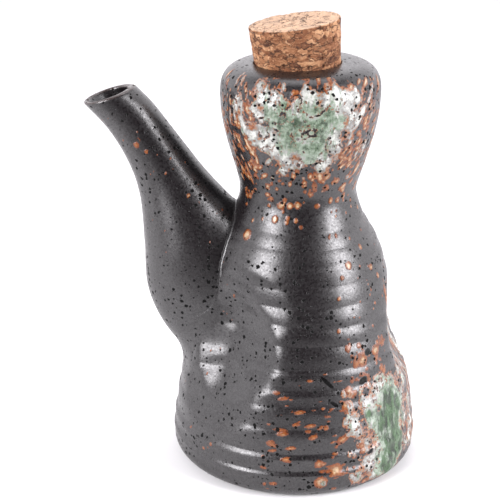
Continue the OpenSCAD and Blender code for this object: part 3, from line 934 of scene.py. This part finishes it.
def glaze_material():
    """Dark iron glaze with black specks, and splashes that run from rust through white to green."""
    g = Graph("iron_glaze")
    flow, rust, green, bare = (g.field(name) for name in ("flow", "rust", "green", "bare"))
    fine = g.calc("SUBTRACT", g.noise(0.9, 3, 0.6, seed=2.0), 0.5)
    middling = g.calc("SUBTRACT", g.noise(2.6, 3, 0.6, seed=12.0), 0.5)
    # thickness of the pale splash with ragged edges, and gaps where it never wetted the glaze below
    pale = g.calc("ADD", flow, g.times(fine, 0.6))
    pale = g.calc("ADD", pale, g.times(middling, 0.9))
    pale = g.times(pale, g.step(flow, 0.05, 0.2))
    gaps = g.step(g.noise(1.8, 3, 0.6, seed=21.0), 0.53, 0.66, 0.0, 0.6)
    pale = g.calc("SUBTRACT", pale, g.times(gaps, g.step(green, 1.1, 0.6, 0.1, 1.0)))
    pale = g.calc("SUBTRACT", pale, g.step(bare, 0.25, 0.6, 0.0, 1.5))
    iron = g.calc("ADD", rust, g.times(fine, 0.5))
    iron = g.times(iron, g.step(rust, 0.1, 0.3))
    iron = g.calc("SUBTRACT", iron, g.step(bare, 0.25, 0.6, 0.0, 1.5))
    base = g.mix(g.noise(6.0, 4, 0.6), CHARCOAL, CHARCOAL_PALE)
    base = g.mix(g.step(bare, 0.25, 0.6), base, BLACK)
    # iron drops run from dark rust at their rims to pale rust; the cream and white in the middles of the
    # thickest drops are painted highlights on their glossy tops
    drop = g.ramp(g.times(iron, 0.8), [
        (0.24, RUST_DARK), (0.33, RUST), (0.50, RUST_PALE), (0.66, CREAM_HIGHLIGHT), (0.95, WHITE),
    ])
    drop = g.mix(g.step(g.noise(1.3, 3, 0.6, seed=14.0), 0.35, 0.7, 0.0, 0.55), drop, RUST_DARK)
    colour = g.mix(g.step(iron, 0.30, 0.36), base, drop)
    white = g.ramp(pale, [
        (0.2, RUST_DARK), (0.25, RUST), (0.32, RUST_PALE), (0.38, TAN), (0.45, GREY), (0.57, PALE_GREY),
        (0.74, WHITE),
    ])
    sage = g.ramp(g.noise(2.8, 4, 0.65, seed=4.0), [
        (0.39, SAGE_DARK), (0.47, SAGE), (0.56, SAGE_PALE), (0.64, PALE_GREY),
    ])
    # the deepest green has run down the side
    down = g.vector("MULTIPLY", g.place, (1, 1, 0.28))
    deep = g.ramp(g.noise(2.2, 4, 0.65, place=down, seed=8.0), [
        (0.43, GREEN_DEEP), (0.52, GREEN), (0.64, GREEN_PALE),
    ])
    tint = g.calc("SUBTRACT", g.noise(2.4, 4, 0.65, place=down, seed=7.0), 0.5)
    tint = g.calc("ADD", g.calc("MINIMUM", green, 1.55), g.times(tint, 3.4))
    greened = g.mix(g.step(tint, 0.85, 1.6), sage, deep)
    white = g.mix(g.step(g.noise(1.5, 3, 0.6, seed=17.0), 0.51, 0.62, 0.0, 0.5), white, GREY)
    splashed = g.mix(g.times(g.step(tint, 0.12, 0.55), g.step(pale, 0.30, 0.42)), white, greened)
    colour = g.mix(g.step(pale, 0.20, 0.25), colour, splashed)
    # iron specks of uneven size, in loose clusters
    bend = g.node("TexNoise", {"Vector": g.place, "Scale": 1.3}).outputs["Color"]
    cell = g.cells(1.6, place=g.vector("ADD", g.place, bend))
    chance = g.node("SeparateColor", {0: cell.outputs["Color"]}).outputs[0]
    size = g.times(g.calc("POWER", chance, 1.5), 0.44)
    size = g.times(size, g.step(g.noise(9.0, 2, 0.5, seed=5.0), 0.35, 0.62, 0.5, 1.15))
    speck = g.step(g.calc("SUBTRACT", size, cell.outputs["Distance"]), -0.02, 0.04)
    speck = g.times(speck, g.step(green, 0.8, 0.3, 0.3, 1.0))
    colour = g.mix(speck, colour, BLACK)
    colour = g.mix(g.step(g.field("edge"), 0.5, 0.9, 0.0, 0.45), colour, LIP_BROWN)
    grain = g.noise(0.7, 3, 0.65, seed=9.0)
    rough = g.step(grain, 0.35, 0.65, 0.26, 0.40)
    rough = g.calc("SUBTRACT", rough, g.step(bare, 0.25, 0.6, 0.0, 0.12))
    rough = g.calc("MAXIMUM", rough, g.times(speck, 0.9))
    normal = g.bump(grain, 0.6, 0.07)
    normal = g.bump(g.noise(2.4, 3, 0.5, seed=3.0), 0.25, 0.15, normal)
    normal = g.bump(speck, 0.6, -0.12, normal)
    normal = g.bump(g.step(pale, 0.15, 0.8), 0.6, 0.25, normal)
    normal = g.bump(g.step(iron, 0.3, 0.5), 0.5, 0.15, normal)
    # specks and bare black hardly shine, iron drops and deep green shine less than the rest
    dull = g.calc("MAXIMUM", speck, g.step(bare, 0.25, 0.6, 0.0, 0.85))
    dull = g.calc("MAXIMUM", dull, g.step(iron, 0.30, 0.36, 0.0, 0.42))
    deep_green = g.times(g.step(tint, 0.85, 1.6), g.step(pale, 0.30, 0.42, 0.0, 0.55))
    dull = g.calc("MAXIMUM", dull, deep_green)
    sparkle = g.step(g.noise(0.55, 2, 0.6, seed=19.0), 0.36, 0.64, 0.86, 1.16)
    level = g.times(g.step(dull, 0.0, 1.0, 0.5, 0.12), sparkle)
    return g.finish(colour, rough, normal, **{"Specular IOR Level": level, "IOR": GLAZE_IOR})


def cork_material():
    """Agglomerated cork: stringy granules in several browns, dark cracks and pits."""
    g = Graph("granulated_cork")
    bend = g.node("TexNoise", {"Vector": g.place, "Scale": 0.5, "Detail": 3.0}).outputs["Color"]
    bend = g.vector("MULTIPLY", bend, (3.4, 3.4, 3.4))
    # granules and fibres lie level, so both patterns are squeezed upright
    level = g.vector("ADD", g.vector("MULTIPLY", g.place, (1, 1, 1.7)), bend)
    fibres = g.vector("MULTIPLY", level, (0.55, 0.55, 1.5))
    granule = g.node("SeparateColor", {0: g.cells(2.6, place=level).outputs["Color"]}).outputs[0]
    edge = g.cells(2.6, "DISTANCE_TO_EDGE", place=level).outputs["Distance"]
    tone = g.calc("ADD", g.times(granule, 0.7), g.times(g.field("tone"), 0.3))
    colour = g.ramp(tone, CORK_TONES)
    mottle = g.noise(0.8, 4, 0.7, place=fibres, seed=1.0)
    colour = g.mix(g.step(mottle, 0.53, 0.68, 0.0, 0.75), colour, CORK_DARK)
    fleck = g.step(g.noise(0.6, 3, 0.65, place=fibres, seed=6.0), 0.52, 0.66, 0.0, 0.6)
    colour = g.mix(fleck, colour, CORK_FLECK)
    # the flat top is paler, partly as a cut face and partly as painted light falling from above
    colour = g.mix(g.times(g.field("end"), 0.65), colour, CORK_END_LIT)
    crack = g.times(g.step(edge, 0.08, 0.02), g.step(g.noise(3.0, 2, 0.5, seed=3.0), 0.42, 0.56))
    colour = g.mix(g.times(crack, 0.8), colour, CORK_CRACK)
    hollow = g.step(g.noise(1.9, 3, 0.65, place=fibres, seed=11.0), 0.61, 0.66)
    hollow = g.calc("MAXIMUM", hollow, g.step(g.field("pit"), 0.3, 0.8, 0.0, 0.8))
    colour = g.mix(g.times(hollow, 0.85), colour, CORK_HOLLOW)
    normal = g.bump(mottle, 0.8, 0.3)
    normal = g.bump(g.calc("MAXIMUM", crack, hollow), 0.8, -0.4, normal)
    return g.finish(colour, g.step(mottle, 0.3, 0.7, 0.8, 0.95), normal)


# ---------------- studio

# The studio's lengths are in metres, except in the floor's material
LIGHT = (1.0, 0.975, 1.01)
floor_size = 6
aim_height = 0.08             # height that the lamps look at
lamp_distance = 0.9
# Softboxes: name, azimuth and elevation in degrees, width, height, watts
SOFTBOXES = [
    ("left_softbox", -46, 21, 0.36, 0.66, 11),
    ("right_softbox", 66, 19, 0.33, 0.66, 10),
    ("top_softbox", 180, 78, 0.55, 0.55, 2.5),
]
camera_place = (0, -0.4607, 0.2518)
camera_lens = 97.6            # focal length in millimetres on a 36 mm sensor
camera_left = 2.125           # degrees that the camera is turned left, tilted down and rolled
camera_down = 20.769
camera_roll = 0.4725


def make_floor():
    """A pale floor, slightly darker near the bottle and much darker far in front of it.

    The dark front lies outside the picture, and keeps what the glaze's lower front reflects dark.
    """
    bpy.ops.mesh.primitive_plane_add(size=floor_size, location=(0, 0, 0))
    floor = bpy.context.object
    floor.name = "floor"
    g = Graph("pale_floor")
    far = g.node("VectorMath", {0: g.place}, operation="LENGTH").outputs["Value"]
    ahead = g.node("SeparateXYZ", {0: g.place}).outputs["Y"]
    shade = g.times(g.step(far, 150, 700, 0.92, 0.98), g.step(ahead, -220, -60, 0.18, 1.0))
    colour = g.node("CombineColor", {0: shade, 1: shade, 2: shade}).outputs[0]
    floor.data.materials.append(g.finish(colour, 0.8, None))


def softbox(name, azimuth, elevation, width, height, power):
    """A rectangular lamp that looks at the middle of the bottle."""
    lamp = bpy.data.lights.new(name, "AREA")
    lamp.shape = "RECTANGLE"
    lamp.size = width
    lamp.size_y = height
    lamp.energy = power
    lamp.color = LIGHT
    made = bpy.data.objects.new(name, lamp)
    bpy.context.scene.collection.objects.link(made)
    a, e = math.radians(azimuth), math.radians(elevation)
    away = Vector((math.sin(a) * math.cos(e), -math.cos(a) * math.cos(e), math.sin(e)))
    middle = Vector((0, 0, aim_height))
    made.location = middle + away * lamp_distance
    made.rotation_euler = away.to_track_quat("Z", "Y").to_euler()


def fade(tree, value, low, high, out_low, out_high):
    """Smooth step of a world direction's part from low to high."""
    made = tree.nodes.new("ShaderNodeMapRange")
    made.interpolation_type = "SMOOTHSTEP"
    numbers = {"From Min": low, "From Max": high, "To Min": out_low, "To Max": out_high}
    for key, number in numbers.items():
        made.inputs[key].default_value = number
    tree.links.new(value, made.inputs["Value"])
    return made.outputs[0]


def make_world():
    """A studio that is bright behind the bottle, dark on the camera's side and dim straight above."""
    world = bpy.data.worlds.new("studio")
    bpy.context.scene.world = world
    world.use_nodes = True
    tree = world.node_tree
    place = tree.nodes.new("ShaderNodeTexCoord")
    parts = tree.nodes.new("ShaderNodeSeparateXYZ")
    tree.links.new(place.outputs["Generated"], parts.inputs[0])
    both = tree.nodes.new("ShaderNodeMath")
    both.operation = "MULTIPLY"
    tree.links.new(fade(tree, parts.outputs["Y"], -0.9, 0.3, 0.03, 1.9), both.inputs[0])
    tree.links.new(fade(tree, parts.outputs["Z"], 0.6, 0.92, 1.0, 0.12), both.inputs[1])
    background = tree.nodes["Background"]
    background.inputs["Color"].default_value = (*LIGHT, 1)
    tree.links.new(both.outputs[0], background.inputs["Strength"])


def make_camera():
    """The camera, a little above the bottle and in front of it."""
    lens = bpy.data.cameras.new("camera")
    lens.lens = camera_lens
    lens.sensor_width = 36
    made = bpy.data.objects.new("camera", lens)
    bpy.context.scene.collection.objects.link(made)
    turn = (
        Matrix.Rotation(math.radians(camera_left), 4, "Z")
        @ Matrix.Rotation(math.radians(90 - camera_down), 4, "X")
        @ Matrix.Rotation(math.radians(camera_roll), 4, "Z")
    )
    made.matrix_world = Matrix.Translation(camera_place) @ turn
    bpy.context.scene.camera = made


bpy.context.scene.view_settings.view_transform = "Standard"
make_camera()
for lamp in SOFTBOXES:
    softbox(*lamp)
make_world()
make_floor()
glaze = glaze_material()
make_body(glaze)
make_head(glaze)
make_spout(glaze)
make_seam(glaze)
make_cork(cork_material())
